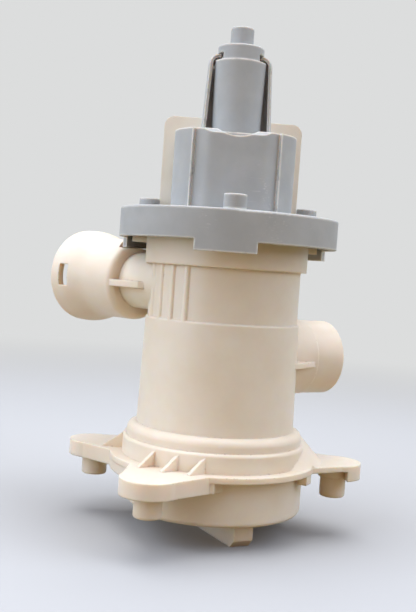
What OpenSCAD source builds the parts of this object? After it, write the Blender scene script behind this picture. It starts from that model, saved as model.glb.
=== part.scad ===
// Washer drain pump: filter housing with a synchronous motor, upright on its filter mouth.
// Origin on the pump axis just below the mounting ears, +Z towards the motor, mm.

/* [Mounting plate] */
// Thickness of the three mounting ears
ear_t = 6.5; // [5.6:0.1:8]
// Height of the underside of the ears above the origin
ear_rise = 1.3; // [0.6:0.1:2]
// Thickness of the plate between the ears
plate_t = 2.4; // [2:0.1:4]
// Radius of the round plate
plate_r = 43.2; // [42:0.1:46]
// Radius of the rounded ear ends
ear_r = 11.4; // [9:0.1:12.5]
// Radius of the rubber-mount pegs
peg_r = 5.45; // [4.5:0.05:7]
// Length of the pegs below the ears
peg_len = 8.6; // [6:0.1:12]
// Distance of the left peg from the pump axis
left_reach = 54.2; // [52:0.1:60]
// Distance of the front peg from the pump axis
front_reach = 54.65; // [52:0.05:60]
// Distance of the right peg from the pump axis
right_reach = 52.7; // [52:0.1:60]
// Direction of the left ear
left_angle = 160; // [155:0.5:165]
// Direction of the front ear
front_angle = 243.2; // [238:0.1:248]
// Direction of the right ear
right_angle = 4.4; // [0:0.1:10]

/* [Filter chamber] */
// Outer radius of the chamber at its upper end
chamber_r = 32.2; // [31:0.1:34]
// How much wider the chamber is at the plate
chamber_draft = 1.1; // [0.6:0.1:1.6]
// Height of the chamber above the plate
chamber_h = 57.5; // [56:0.5:68]
// Wall thickness of the moulded housing
wall = 2.6; // [2.2:0.1:3]
// Step from the chamber out to its stiffening ring
ring_step = 3.4; // [2.5:0.1:3.8]
// Height of the stiffening ring
ring_h = 5.5; // [4:0.1:8]
// Rounding of the top of the stiffening ring
ring_round = 3.2; // [2:0.1:3.6]
// Height of the skirt between the plate and the ring
skirt_h = 7.7; // [6.5:0.1:9]
// Rounding of the top of the skirt
skirt_round = 1.2; // [0.6:0.1:1.5]
// Width of the gusset ribs on the plate
gusset_w = 1.7; // [1.2:0.1:2.5]

/* [Filter mouth] */
// How far the mouth collar stands out from the filter chamber
mouth_step = 6; // [5.6:0.1:7.8]
// How far the collar hangs below the origin
mouth_drop = 13; // [12:0.1:16]
// Rounding of the lower edge of the collar
mouth_round = 1.8; // [0.6:0.1:2]
// Lead of the screw-in filter cap, per turn
cap_lead = 12; // [9:0.5:12]
// Length of the grip bar
grip_len = 62; // [40:0.5:66]
// Thickness of the grip bar
grip_w = 8.5; // [6:0.1:12]
// Height of the grip bar below the cap face
grip_h = 11.6; // [6:0.1:14]
// Direction of the grip bar
grip_angle = 115.5; // [90:0.5:180]

/* [Volute] */
// Height of the ribbed band at impeller level
band_h = 21.6; // [20:0.1:28]
// How far the band is set in from the chamber
band_inset = 0.8; // [0.6:0.1:1]
// Rounding of the upper edge of the chamber
chamber_round = 0.8; // [0.5:0.1:1]
// How far the collar above the band stands out from the chamber
lip_step = 1.6; // [1:0.1:2.4]
// Height of the collar above the band
collar_h = 18.9; // [18:0.1:22]
// Radius of the half-round ribs on the band
band_rib_r = 1.5; // [1.2:0.1:2]
// Radius of the eye between chamber and impeller
eye_r = 13.5; // [10:0.5:16]

/* [Inlet] */
// Outer radius of the inlet spigot
inlet_r = 16.1; // [13:0.1:16.4]
// Wall of the inlet spigot
inlet_wall = 2.9; // [2.2:0.1:3.4]
// Distance of the spigot end from the pump axis
inlet_reach = 54.3; // [50:0.1:70]
// Drop of the spigot axis below the top of the chamber
inlet_drop = 15.2; // [14.6:0.1:18]
// Direction of the inlet spigot
inlet_angle = 29.5; // [20:0.5:40]

/* [Discharge] */
// Outer radius of the duct that leaves the volute
duct_r = 12; // [10:0.1:12.4]
// Outer radius of the socket neck
socket_r = 17.2; // [15:0.1:17.6]
// Rounding of the closed end of the socket
socket_round = 3; // [1.5:0.1:3.5]
// Outer radius of the flared socket end
bell_r = 20.4; // [19.4:0.1:22]
// Length of the socket from its closed end to its rim
socket_len = 39; // [38:0.5:55]
// Sideways offset of the duct from the pump axis
duct_offset = 18; // [17.4:0.1:18.4]
// Rise of the duct axis above the top of the chamber
duct_rise = 13.7; // [12.5:0.1:14.4]
// Direction in which the discharge leaves
duct_angle = 132.5; // [130:0.5:135]
// Length of the clip window along the socket
window_len = 5.2; // [4.6:0.1:8]
// Height of the clip window
window_h = 9.3; // [6:0.1:11]
// Distance of the clip window from the rim
window_back = 6.6; // [5:0.1:9]

/* [Motor base] */
// Outer radius of the motor flange
flange_r = 45.3; // [44.6:0.1:48]
// Height of the flange skirt
flange_h = 12.2; // [10:0.1:13]
// Thickness of the flange plate
flange_t = 3.4; // [2.6:0.1:4.5]
// Width of the hanging tabs
tab_w = 24; // [16:0.5:28]
// Drop of the tabs below the skirt
tab_drop = 4.2; // [2:0.1:5]
// Radius of the screw bosses
boss_r = 4.4; // [4.2:0.1:4.8]
// Height of the screw bosses on the flange
boss_h = 5.7; // [4.5:0.1:8]
// Distance of the screws from the pump axis
boss_reach = 39.9; // [39.4:0.1:40.2]

/* [Rotor can] */
// Outer radius of the rotor can inside the stator
can_r = 14.4; // [13.6:0.1:14.8]
// Wall of the rotor can
can_wall = 1.2; // [1:0.1:1.5]
// Radius of the stem at its top
stem_r = 10.9; // [10.4:0.1:11.2]
// How much thinner the stem is at its foot
stem_taper = 0.8; // [0.4:0.1:1]
// Height of the stem above the shroud
stem_h = 30.4; // [28:0.1:40]
// Half width of the flats that the snap arms grip
neck_r = 7.4; // [6.8:0.1:7.8]
// Height of the flats
neck_h = 3.2; // [2.8:0.1:5]
// Radius of the crown above the stem
crown_r = 9.6; // [9.2:0.1:10.2]
// Height of the full crown above the flats
crown_h = 3.3; // [2.5:0.1:5]
// Radius of the rear mounting peg
tip_r = 4.8; // [4:0.1:6]
// Length of the rear mounting peg
tip_h = 8; // [6:0.1:14]

/* [Stator shroud] */
// Height of the shroud on the flange
shroud_h = 32.2; // [31.6:0.1:36]
// Distance from the axis to the flat front of the shroud
shroud_front = 23.4; // [22.8:0.1:24.4]
// Half width of the flat front of the shroud
front_half = 11.2; // [10:0.1:12]
// Rounding of the upright front edges of the shroud
front_round = 7; // [5:0.1:8]
// Depth of the groove in the top of the shroud
groove_depth = 2.4; // [1.6:0.1:3]
// Half width of the shroud across its side lobes
lobe_half = 24.9; // [24.6:0.1:25.6]
// Wall of the shroud
shroud_wall = 1.6; // [1.3:0.1:1.9]
// Angle that each snap arm wraps round the stem
arm_wrap = 55; // [40:1:70]

/* [Stator] */
// Thickness of the lamination stack
stack_t = 18; // [15:0.5:19]
// Width of each lamination leg
leg_w = 12.2; // [10.5:0.1:13]
// Distance from the axis to the back of the yoke
core_back = 74; // [72:0.5:80]
// Width of the yoke along the legs
yoke_w = 11.5; // [9:0.5:12]
// Distance from the axis to the front face of the bobbin
bobbin_front = 24; // [23.4:0.1:26]
// Length of the bobbin along the legs
bobbin_len = 36; // [30:0.5:37]
// Half width of the bobbin cheeks
cheek_half = 30.5; // [29.8:0.1:33]
// Height of the front cheek
cheek_h = 42.4; // [40:0.1:46]
// Corner rounding of the cheeks
cheek_round = 4.4; // [3:0.1:6]
// Build-up of the winding
winding_t = 4.1; // [3:0.1:4.3]

/* [Rotor and impeller] */
// Radius of the shaft
shaft_r = 2; // [1.6:0.1:2.5]
// Radius of the impeller
impeller_r = 24; // [18:0.5:26.5]
// Number of impeller vanes
vane_n = 6; // [4:1:8]
// Thickness of the impeller vanes
vane_t = 2; // [1.4:0.1:3]
// Height of the impeller vanes
vane_h = 15; // [10:0.5:17]
// Length of the rotor magnet
magnet_h = 24; // [20:0.5:25]

/* [Hidden] */
$fn = 72;

// Clearances between pieces
run_gap = 0.03;
fit_gap = 0.05;
loose_gap = 0.3;
free_gap = 0.5;

// Heights of the housing
plate_z = ear_rise + ear_t;
plate_low = plate_z - plate_t;
ring_z = plate_z + skirt_h;
ring_top_z = ring_z + ring_h;
chamber_z = plate_z + chamber_h;
lip_z = chamber_z + band_h;
top_z = lip_z + collar_h;
inlet_z = chamber_z - inlet_drop;
duct_z = chamber_z + duct_rise;

// Radii and roundings of the housing
peg_round = 1;
peg_pad = 1;
inlet_round = 0.9;
rib_sink = 0.75;
fairing_shift = 19;
hose_stop = 40;
hose_step = 0.25;
tip_round = 0.6;
mouth_r = chamber_r + mouth_step;
base_r = chamber_r + chamber_draft;
ring_r = base_r + ring_step;
skirt_r = mouth_r;
band_r = chamber_r - band_inset;
lip_r = chamber_r + lip_step;
mouth_bore_r = mouth_r - wall;
collar_bore_r = lip_r - wall;
volute_r = band_r - wall;
shoulder_z = ring_z - wall;

// Motor base
flange_z = top_z + flange_t - flange_h;
flange_top_z = top_z + flange_t;
tab_z = flange_z - tab_drop;
skirt_t = 2;
pocket_r = flange_r - skirt_t;
lug_r = pocket_r - loose_gap;
spigot_r = collar_bore_r - 0.2;
spigot_wall = 4;
spigot_len = 15.5;
spigot_z = top_z - spigot_len;
seal_z = spigot_z + 4.5;
seal_r = 0.93;
seal_gap = 0.04;
screw_r = 1.6;
screw_head_r = 3;
screw_head_h = 2.4;
screw_seat_z = flange_top_z + boss_h - screw_head_h - 1;
screw_len = 15;
screw_lug_half = 4.6;
boss_angles = [30, 150, 270];
tab_angles = [32.7, 152.7, 266.6];

// Shroud, rotor can and stem
shroud_z = flange_top_z;
shroud_top_z = shroud_z + shroud_h;
can_top_z = shroud_top_z - shroud_wall - loose_gap;
can_bore_r = can_r - can_wall;
stem_top_z = shroud_top_z + stem_h;
neck_top_z = stem_top_z + neck_h;
crown_top_z = neck_top_z + crown_h;
stem_foot_r = stem_r - stem_taper;
stem_bore_r = stem_foot_r - 1.6;
lobe_in = 17.6;
lobe_root_x = 16.8;
lobe_root = 19.7;
lobe_side_y = 6;
lobe_front = 20.9;
lobe_arc = ((lobe_half - lobe_in) ^ 2 + (lobe_front - lobe_side_y) ^ 2) / (2 * (lobe_half - lobe_in));
shroud_back = bobbin_front - 1.2;
arm_t = 1.3;
arm_foot_r = stem_r + 3.8;
arm_top_r = stem_r + 2.4;
groove_r = 14.9;
chamfer_back = 1.6;
chamfer_down = 1.6;
chamfer_half = 14;
hook_arc = 4.4;
arm_lead = 18;
hook_wrap = 24;
hook_in_r = (neck_r + loose_gap) / cos(hook_wrap) + 0.1;

// Stator
stack_mid = shroud_top_z - 16.2;
stack_z = stack_mid - stack_t / 2;
leg_out = lobe_half - shroud_wall - 0.4;
leg_in = leg_out - leg_w;
pole_gap = 5;
pole_bore_r = can_r + 0.6;
rivet_r = 1.5;
rivet_head_r = 2.7;
rivet_head_h = 0.8;
post_r = 1.6;
post_inset = 2.4;
cheek_z = flange_top_z + 0.6;
cheek_t = 2;
bobbin_back = bobbin_front + bobbin_len;
tube_gap = 0.15;
tube_wall = 1;
tube_out = tube_gap + tube_wall;
tape_t = 0.5;
tape_out = tube_out + winding_t + tape_t;
rear_cheek_h = stack_z + stack_t + tape_out + 5 - cheek_z;
block_z = stack_z + stack_t + tape_out + 0.4;
block_h = 7;
tab_x = 7;
tab_width = 6.3;
tab_t = 0.8;
tab_low_z = block_z + block_h / 2 - tab_t / 2;
tab_sink = 5;
tab_len = 16;
tab_hole_r = 0.8;
tab_hole_y = 12.5;

// Discharge socket, measured along the duct
socket_start = 33.4;
flare_start = socket_start + socket_len * 0.4;
flare_len = socket_len * 0.46;
bell_seat = socket_start + socket_len * 0.8;

// Rotor, impeller and bearings
rotor_gap = 0.8;
magnet_r = can_bore_r - rotor_gap;
core_r = 6.5;
core_top_z = can_top_z - can_wall - 0.6;
magnet_z = core_top_z - 0.8 - magnet_h;
core_floor_t = 2.2;
cup_top_z = magnet_z - core_floor_t;
cup_h = 6.4;
cup_z = cup_top_z - cup_h;
cup_r = magnet_r - 0.9;
cup_bore_r = cup_r - 2;
dog_h = cup_h - 0.8;
dog_z = cup_z + 0.4;
dog_r = cup_bore_r - free_gap;
dog_hub_r = 4.4;
dog_step = 0.3;
dog_half = 22;
buffer_half = 30;
tooth_half = 25;
shaft_bore_r = shaft_r + run_gap;
plate_low_z = spigot_z - 1.7;
bearing_plate_t = 2.6;
hub_top_z = cup_z - 1.4;
bush_r = shaft_r + 3;
bush_h = 7;
lip_seal_h = 3;
lip_seal_r = bush_r + 1.5;
rear_bush_h = 9;
rear_bush_z = stem_top_z - 4 - rear_bush_h;
vane_top_z = plate_low_z - 4.4;
hub_r = 6;
vane_z = vane_top_z - vane_h;
back_disc_t = 2.2;
shaft_low_z = vane_z + 1.5;
shaft_top_z = rear_bush_z + rear_bush_h - 1;

// Filter cap
cap_face_z = 1.5 - mouth_drop;
cap_face_t = 3.4;
cap_land_r = mouth_bore_r - 0.4;
cap_play = 2.9;
cap_wall_r = mouth_bore_r - cap_play;
cap_in_r = cap_wall_r - 2.6;
cap_end_z = shoulder_z - 0.9;
cap_seal_r = 1.28;
lug_h = 3;
grip_chamfer = 3;
lug_half = 12;
lug_z = cap_end_z - 0.4 - lug_h;
lug_angle = 20;
ramp_t = 2.2;
ramp_step = 15;
ramp_n = 10;
ramp_in_r = cap_wall_r + 0.4;
ramp_low_z = lug_z - 0.3 - cap_lead * ramp_n * ramp_step / 360 - ramp_t;
cap_land_top_z = ramp_low_z - 0.4;
cap_land_h = cap_land_top_z - cap_face_z;
cap_seal_z = cap_land_top_z - 2.2;
notch_top_z = cap_seal_z - cap_seal_r - 0.6;
bar_gap = 4.4;
bar_r = chamber_r - wall - bar_gap;
bar_n = 12;
bar_depth = 4;
bar_head = 8;
bar_top_z = chamber_z - wall - bar_head;

// Solid of revolution with rounded rims, from z = 0 up
module rounded_disc(r, h, low, high) {
  rotate_extrude() {
    square([r - low, low]);
    translate([0, low]) square([r, h - low - high]);
    translate([0, h - high]) square([r - high, high]);
    translate([r - low, low]) circle(low);
    translate([r - high, h - high]) circle(high);
  }
}

// Disc with a rounded top rim, from z = 0 up
module head_disc(r, h, high) {
  rotate_extrude() {
    square([r, h - high]);
    square([r - high, h]);
    translate([r - high, h - high]) circle(high);
  }
}

// Disc with a rounded bottom rim, from z = 0 up
module foot_disc(r, h, low) {
  translate([0, 0, h]) mirror([0, 0, 1]) head_disc(r, h, low);
}

// Ring between two radii, from z up
module ring(outer, inner, z, h) {
  translate([0, 0, z]) difference() {
    cylinder(r = outer, h = h);
    translate([0, 0, -1]) cylinder(r = inner, h = h + 2);
  }
}

// Ring sector about the axis, centred on an angle
module sector(outer, inner, half, angle, z, h) {
  rotate([0, 0, angle - half]) translate([0, 0, z])
    rotate_extrude(angle = 2 * half) translate([inner, 0]) square([outer - inner, h]);
}

// Rectangle with true round corners, centred
module rounded_rect(w, h, r) {
  square([w - 2 * r, h], center = true);
  square([w, h - 2 * r], center = true);
  for (x = [-1, 1], y = [-1, 1]) translate([x * (w / 2 - r), y * (h / 2 - r)]) circle(r);
}

// Outline of one ear, along +X from the pump axis, set in by a distance
module ear_2d(reach, inset = 0) {
  half = ear_r - inset;
  translate([reach, 0]) circle(half);
  polygon([[30, inset - 21], [30, 21 - inset], [reach + 1, half - 0.1], [reach + 1, 0.1 - half]]);
}

// Upright triangular rib on the plate, along +X from a radius
module gusset(r, len) {
  translate([r, gusset_w / 2, plate_z - 0.5]) rotate([90, 0, 0]) linear_extrude(gusset_w)
    polygon([[-2, 0], [len, 0], [len, 0.8], [0, skirt_h - 0.4], [-2, skirt_h - 0.4]]);
}

// Hollow-curved blend from the ring down to an ear, about a direction
module ear_blend(angle, half, reach) {
  top = [ring_r - 0.8, ring_top_z - 1.2];
  d = [reach, plate_z + 0.4 - top[1]];
  len = norm(d);
  out = sqrt(24 ^ 2 - len ^ 2 / 4) / len;
  rotate([0, 0, angle - half]) rotate_extrude(angle = 2 * half) translate(top)
    difference() {
      polygon([[-2, d[1] - 1], [d[0], d[1] - 1], d, [0, 0], [-2, 0]]);
      translate([d[0] / 2 - d[1] * out, d[1] / 2 + d[0] * out]) circle(24);
    }
}

// Conical fairing from the ring down to the right ear, on an upright axis set out towards it
module ear_fairing(angle, reach) {
  low_z = plate_z - 0.5;
  intersection() {
    rotate([0, 0, angle]) translate([fairing_shift, 0, low_z])
      cylinder(r1 = ring_r + reach - fairing_shift, r2 = ring_r - 0.7 - fairing_shift,
        h = ring_top_z - 1.8 - low_z);
    translate([0, 0, low_z - 1]) linear_extrude(2 * skirt_h + ring_h) {
      circle(plate_r - 0.3);
      rotate([0, 0, right_angle]) ear_2d(right_reach, 0.4);
    }
  }
}

// Direction and peg distance of each ear
function ears() = [[left_angle, left_reach], [front_angle, front_reach], [right_angle, right_reach]];

module ears_2d() {
  for (e = ears()) rotate([0, 0, e[0]]) ear_2d(e[1]);
}

module mounting_plate() {
  translate([0, 0, plate_low]) linear_extrude(plate_t) {
    circle(plate_r);
    ears_2d();
  }
  translate([0, 0, ear_rise]) linear_extrude(plate_low - ear_rise) {
    difference() {
      for (e = [ears()[0], ears()[1]]) rotate([0, 0, e[0]]) ear_2d(e[1]);
      circle(mouth_r - 1);
    }
    rotate([0, 0, right_angle]) {
      intersection() {
        ear_2d(right_reach);
        translate([right_reach + 3.5, -20]) square(40);
      }
      translate([right_reach, 0]) circle(peg_r + peg_pad);
    }
  }
  for (e = ears()) rotate([0, 0, e[0]]) translate([e[1], 0, ear_rise - peg_len])
    foot_disc(peg_r, plate_low - ear_rise + peg_len + 1, peg_round);
  for (p = [[231, 37], [247.5, 37], [264, 37]]) rotate([0, 0, p[0]]) translate([p[1], 0, 0])
    rotate([0, 0, 219.5 - p[0]]) gusset(0, 8.5);
  rotate([0, 0, left_angle + 15]) gusset(skirt_r, 9);
  ear_blend(left_angle, 9, 10);
  ear_fairing(right_angle + 2, 10.5);
  under_rim((left_angle + front_angle) / 2, (front_angle - left_angle) / 2 - 9.6);
  under_rim(front_angle + 15.3, 11.5);
  rotate([0, 0, 335]) translate([plate_r - 4, -3, ear_rise + 0.5]) cube([3.8, 6, plate_low - ear_rise]);
}

// Rim that stiffens the plate from below, about a direction
module under_rim(angle, half) {
  sector(plate_r - 0.25, mouth_r - 1, half, angle, ear_rise + 0.1, plate_low - ear_rise + 0.4);
}

module chamber_outside() {
  translate([0, 0, -mouth_drop]) foot_disc(mouth_r, mouth_drop + plate_low + 1, mouth_round);
  translate([0, 0, plate_z - 1]) head_disc(skirt_r, skirt_h + 1, skirt_round);
  translate([0, 0, ring_z - 2]) head_disc(ring_r, ring_h + 2, ring_round);
  translate([0, 0, plate_z - 0.6]) rotate_extrude() {
    h = chamber_h + 0.6;
    polygon([[0, 0], [base_r, 0], [chamber_r, h - chamber_round], [chamber_r - chamber_round, h], [0, h]]);
    translate([chamber_r - chamber_round, h - chamber_round]) circle(chamber_round);
  }
  translate([0, 0, chamber_z - 1]) cylinder(r = band_r, h = band_h + 2);
  translate([0, 0, lip_z]) foot_disc(lip_r, collar_h, 0.5);
  for (a = [200.5, 214, 226.5, 239.3]) rotate([0, 0, a])
    translate([band_r - rib_sink, 0, chamber_z - 1.4]) cylinder(r = band_rib_r, h = band_h + 2);
}

// Lugs under the motor skirt, one at each screw
module top_flange() {
  for (a = tab_angles) sector(pocket_r - 2.2, lip_r - 1, 16, a, flange_z - 1.6, 2.6);
  intersection() {
    translate([0, 0, flange_z - 1]) cylinder(r = lug_r, h = top_z - flange_z + 1);
    for (a = boss_angles) rotate([0, 0, a])
      translate([lip_r - 2, -screw_lug_half, flange_z - 1])
        cube([20, 2 * screw_lug_half, top_z - flange_z + 1]);
  }
}

module inlet_outside() {
  translate([0, 0, inlet_z]) rotate([0, 0, inlet_angle]) {
    rotate([0, 90, 0]) {
      cylinder(r = inlet_r + hose_step, h = hose_stop);
      head_disc(inlet_r, inlet_reach, inlet_round);
    }
    translate([0, 0, -2.9]) linear_extrude(2.3)
      polygon([[18, -8], [21, -24.5], [25.5, -22.5],
        [hose_stop - 0.2, -inlet_r + 0.6], [hose_stop - 0.2, -8]]);
  }
}

// Duct and socket along +Z of their own frame, from the foot of the offset
module duct_outside() {
  flare = bell_r - socket_r;
  arc = (flare_len ^ 2 + flare ^ 2) / (4 * flare);
  translate([0, 0, 5]) cylinder(r = duct_r, h = socket_start + 1);
  translate([0, 0, socket_start]) foot_disc(socket_r, flare_start - socket_start + 1, socket_round);
  translate([0, 0, flare_start]) rotate_extrude() {
    difference() {
      square([bell_r, flare_len / 2]);
      translate([socket_r + arc, 0]) circle(arc);
    }
    intersection() {
      translate([0, flare_len / 2]) square([bell_r + 1, flare_len / 2]);
      translate([bell_r - arc, flare_len]) circle(arc);
    }
  }
  translate([0, 0, flare_start + flare_len])
    head_disc(bell_r, socket_start + socket_len - flare_start - flare_len, 1.4);
}

module duct_inside() {
  cylinder(r = duct_r - 2, h = socket_start + 5);
  translate([0, 0, socket_start + 4]) cylinder(r = duct_r - 0.6, h = 14);
  translate([0, 0, socket_start + 17]) cylinder(r = socket_r - wall, h = socket_len);
  translate([0, 0, bell_seat]) cylinder(r = bell_r - wall, h = socket_len);
}

module duct_frame() {
  rotate([0, 0, duct_angle]) translate([0, duct_offset, duct_z]) rotate([0, 90, 0]) children();
}

module discharge_outside() {
  difference() {
    duct_frame() duct_outside();
    translate([0, 0, tab_z - 0.4]) cylinder(r = flange_r + 1, h = 40);
    translate([0, 0, chamber_z]) cylinder(r = band_r - 1, h = 60);
  }
  rotate([0, 0, duct_angle]) translate([0, 0, duct_z - 3]) linear_extrude(2.8) difference() {
    polygon([[socket_start + 1, 10], [socket_start + 1, duct_offset + 16.4], [19, 31.5], [12, 26]]);
    circle(band_r - 1);
  }
}

module housing_inside() {
  translate([0, 0, -mouth_drop - 1]) cylinder(r = mouth_bore_r, h = mouth_drop + 1 + shoulder_z);
  translate([0, 0, shoulder_z - 1])
    cylinder(r1 = base_r - wall, r2 = chamber_r - wall, h = chamber_z - wall - shoulder_z + 1);
  translate([0, 0, chamber_z - wall - 1]) cylinder(r = eye_r, h = wall + 2);
  translate([0, 0, chamber_z]) cylinder(r = volute_r, h = band_h + collar_h + 1);
  translate([0, 0, spigot_z - 0.6]) cylinder(r = collar_bore_r, h = spigot_len + 2);
  translate([0, 0, inlet_z]) rotate([0, 0, inlet_angle]) rotate([0, 90, 0])
    translate([0, 0, 20]) cylinder(r = inlet_r - inlet_wall, h = inlet_reach);
  duct_frame() duct_inside();
  rotate([0, 0, duct_angle])
    translate([socket_start + socket_len - window_back - window_len, duct_offset, duct_z - window_h / 2])
      cube([window_len, bell_r + 5, window_h]);
  for (a = boss_angles) rotate([0, 0, a]) translate([boss_reach, 0, screw_seat_z - screw_len - 1])
    cylinder(r = screw_r, h = 30);
  sector(mouth_r + 1, mouth_bore_r - 1, 41, 177, -mouth_drop - 1, notch_top_z + mouth_drop + 1);
}

// Two helical ramps in the mouth, in short level steps, that hold the lugs of the cap
module mouth_ramps() {
  for (s = [0, 180], i = [0 : ramp_n - 1])
    sector(mouth_bore_r + 0.3, ramp_in_r, ramp_step / 2 + 0.05,
      lug_angle + lug_half + s - (i + 0.5) * ramp_step,
      lug_z - 0.3 - cap_lead * ((i + 1) * ramp_step) / 360 - ramp_t, ramp_t);
}

module pump_housing() color([0.9, 0.86, 0.74]) {
  difference() {
    union() {
      mounting_plate();
      chamber_outside();
      top_flange();
      inlet_outside();
      discharge_outside();
    }
    housing_inside();
  }
  mouth_ramps();
}

module filter_cap() color([0.88, 0.83, 0.72]) {
  difference() {
    union() {
      translate([0, 0, cap_face_z]) foot_disc(cap_land_r, cap_land_h, 0.6);
      translate([0, 0, cap_face_z]) cylinder(r = cap_wall_r, h = cap_end_z - cap_face_z);
    }
    translate([0, 0, cap_face_z + cap_face_t]) cylinder(r = cap_in_r, h = cap_end_z - cap_face_z);
    ring(cap_land_r + 1, cap_land_r - 2.3, cap_seal_z - cap_seal_r - 0.1, 2 * cap_seal_r + 0.2);
  }
  for (s = [0, 180]) sector(mouth_bore_r - 0.5, cap_wall_r - 0.5, lug_half, lug_angle + s, lug_z, lug_h);
  rotate([0, 0, grip_angle]) translate([0, grip_w / 2, cap_face_z]) rotate([90, 0, 0])
    linear_extrude(grip_w) polygon([[-grip_len / 2, 1], [grip_len / 2, 1],
      [grip_len / 2, grip_chamfer - grip_h], [grip_len / 2 - grip_chamfer, -grip_h],
      [grip_chamfer - grip_len / 2, -grip_h], [-grip_len / 2, grip_chamfer - grip_h]]);
}

module cap_seal() color([0.12, 0.12, 0.12])
  translate([0, 0, cap_seal_z]) rotate_extrude()
    translate([mouth_bore_r - seal_gap - cap_seal_r, 0]) circle(cap_seal_r);

module filter_strainer() color([0.85, 0.85, 0.82]) {
  foot_z = cap_face_z + cap_face_t;
  ring(cap_in_r - 0.2, bar_r - 3, foot_z, 2.5);
  for (i = [0 : bar_n - 1]) rotate([0, 0, i * 360 / bar_n])
    translate([bar_r - 2.2, -1.2, foot_z + 1]) cube([bar_depth, 2.4, bar_top_z - foot_z - 1]);
  ring(bar_r + 2.2, bar_r - 2.6, bar_top_z - 2.5, 2.5);
}

module motor_base() color([0.55, 0.56, 0.58]) difference() {
  union() {
    difference() {
      translate([0, 0, flange_z]) rounded_disc(flange_r, flange_h, 0.4, 0.8);
      translate([0, 0, flange_z - 1]) cylinder(r = pocket_r, h = flange_h - flange_t + 1);
    }
    intersection() {
      ring(flange_r, pocket_r, tab_z, tab_drop + 1);
      for (a = tab_angles) rotate([0, 0, a])
        translate([30, -tab_w / 2, tab_z]) cube([20, tab_w, tab_drop + 1]);
    }
    for (a = boss_angles) rotate([0, 0, a]) translate([boss_reach, 0, flange_top_z - 1])
      head_disc(boss_r, boss_h + 1, 0.5);
    ring(spigot_r, spigot_r - spigot_wall, spigot_z, spigot_len + 1);
    translate([0, 0, spigot_z + 1]) cylinder(r = can_r, h = can_top_z - spigot_z - 1);
    translate([0, 0, can_top_z - 1])
      cylinder(r1 = stem_foot_r, r2 = stem_r, h = stem_top_z - can_top_z + 1);
    intersection() {
      translate([0, 0, stem_top_z - 1]) cylinder(r = crown_r, h = neck_h + 2);
      translate([-neck_r, -20, stem_top_z - 1]) cube([2 * neck_r, 40, neck_h + 2]);
    }
    translate([0, 0, neck_top_z]) rounded_disc(crown_r, crown_h, 0.4, 0.8);
    translate([0, 0, crown_top_z - 1]) head_disc(tip_r, tip_h + 1, tip_round);
    for (x = [-1, 1]) translate([x * 27.8 - 2.6, bobbin_front - 2.6, flange_top_z - 1]) cube([5.2, 2, 3.8]);
    for (x = [-1, 1], y = [-11, 11]) translate([x * (leg_out - post_inset), y, flange_top_z - 1])
      cylinder(r = post_r, h = stack_z - flange_top_z + 1);
  }
  translate([0, 0, spigot_z]) cylinder(r = can_bore_r, h = can_top_z - can_wall - spigot_z);
  translate([0, 0, can_top_z - 4]) cylinder(r = stem_bore_r, h = rear_bush_z + rear_bush_h - can_top_z + 4);
  ring(spigot_r + 1, spigot_r - 1.75, seal_z - seal_r - 0.1, 2 * seal_r + 0.2);
  for (a = boss_angles) rotate([0, 0, a]) translate([boss_reach, 0, 0]) {
    translate([0, 0, flange_z]) cylinder(r = screw_r + 0.3, h = flange_h + boss_h);
    translate([0, 0, screw_seat_z]) cylinder(r = screw_head_r + 0.3, h = 2 * screw_head_h);
  }
}

module base_seal() color([0.12, 0.12, 0.12])
  translate([0, 0, seal_z]) rotate_extrude()
    translate([collar_bore_r - seal_gap - seal_r, 0]) circle(seal_r);

module base_screws() color([0.75, 0.75, 0.72])
  for (a = boss_angles) rotate([0, 0, a]) translate([boss_reach, 0, screw_seat_z]) difference() {
    union() {
      translate([0, 0, -screw_len]) cylinder(r = screw_r, h = screw_len + 1);
      head_disc(screw_head_r, screw_head_h, 0.6);
    }
    for (t = [0, 90]) rotate([0, 0, t]) translate([-1.8, -0.35, screw_head_h - 1.2]) cube([3.6, 0.7, 3]);
  }

// Plan outline of the shroud, set in by a distance
module shroud_2d(inset, back) {
  root = [lobe_root_x + 0.4, 0.4 - lobe_root];
  turn = atan2(root[1] + shroud_front, root[0] - front_half);
  bend = [front_half - front_round * tan(turn / 2), front_round - shroud_front];
  bend_r = front_round - inset;
  for (m = [0, 1]) mirror([m, 0]) {
    polygon([[-0.5, inset - shroud_front], [bend[0], inset - shroud_front],
      bend + bend_r * [sin(turn), -cos(turn)], [root[0], root[1] + inset / cos(turn)],
      [root[0], back], [-0.5, back]]);
    translate(bend) circle(bend_r);
    translate([0, -lobe_side_y]) square([lobe_half - inset, lobe_side_y + back]);
    intersection() {
      translate([lobe_half - lobe_arc, -lobe_side_y]) circle(lobe_arc - inset);
      polygon([[lobe_root_x + inset, 0], [lobe_root_x + inset, -lobe_root],
        [lobe_in + inset, -lobe_front], [lobe_in + inset, -40], [60, -40], [60, 0]]);
    }
  }
}

// Section of the leaning blade of a snap arm, up to the start of its bend
module blade_2d(bend_z) {
  polygon([[arm_foot_r - arm_t, shroud_top_z - 1], [arm_foot_r, shroud_top_z - 1],
    [arm_top_r, bend_z], [arm_top_r - arm_t, bend_z]]);
}

// Blade swept round the stem, with a rounded hook over the front of its top
module snap_arm() {
  hook_z = neck_top_z - loose_gap;
  bend_r = arm_top_r - hook_arc;
  bend_z = hook_z - hook_arc;
  rotate([0, 0, hook_wrap]) rotate_extrude(angle = arm_wrap - hook_wrap) blade_2d(bend_z);
  rotate([0, 0, -arm_lead]) rotate_extrude(angle = arm_lead + hook_wrap) {
    blade_2d(bend_z);
    intersection() {
      translate([bend_r, bend_z]) difference() {
        circle(hook_arc);
        circle(hook_arc - arm_t);
      }
      translate([bend_r, bend_z]) square([10, 10]);
    }
    translate([hook_in_r, hook_z - arm_t]) square([bend_r - hook_in_r, arm_t]);
  }
}

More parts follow.
